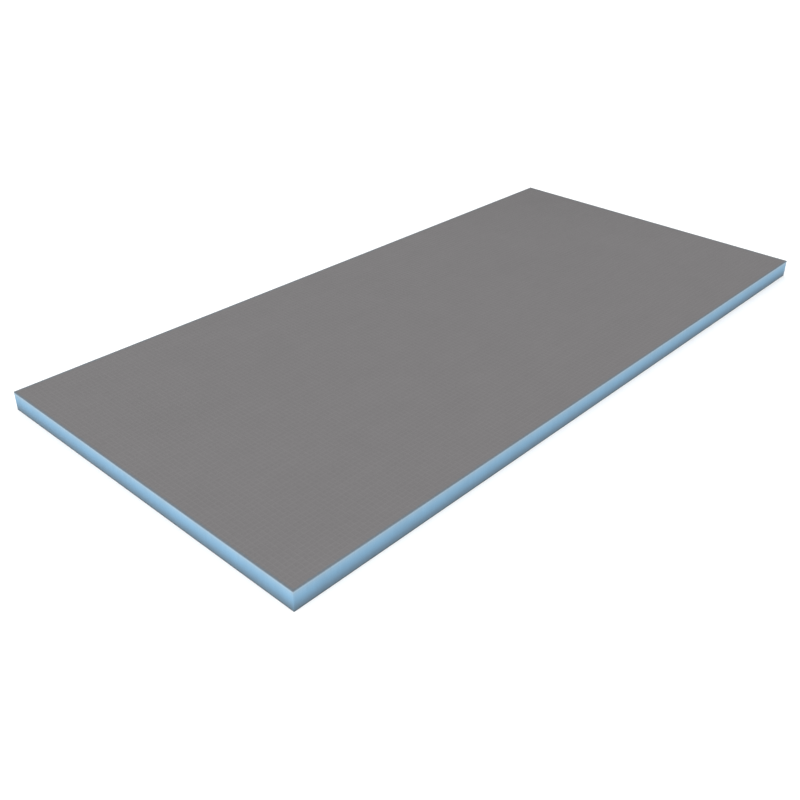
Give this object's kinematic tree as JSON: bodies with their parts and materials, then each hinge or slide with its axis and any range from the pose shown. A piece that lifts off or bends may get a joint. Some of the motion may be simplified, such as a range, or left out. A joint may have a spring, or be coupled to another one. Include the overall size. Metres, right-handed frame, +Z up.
{
  "type": "foam tile backer board",
  "caption": "Flat rectangular tile backer board: a rigid blue foam core between thin grey mesh-reinforced mortar coats, with square-cut edges that show the foam.",
  "frame": {"origin": "middle of the underside", "axes": "+X along the board's length, +Y across its width, +Z up out of the tiling face"},
  "size_m": [1.25, 0.6, 0.03],
  "materials": {
    "foam": "matte, fine closed cells, cut square",
    "mortar": "matte cement, with a fine square mesh in faint relief"
  },
  "bodies": {
    "root": {"foam_core": "foam", "top_mortar_coat": "mortar", "bottom_mortar_coat": "mortar"}
  },
  "joints": []
}
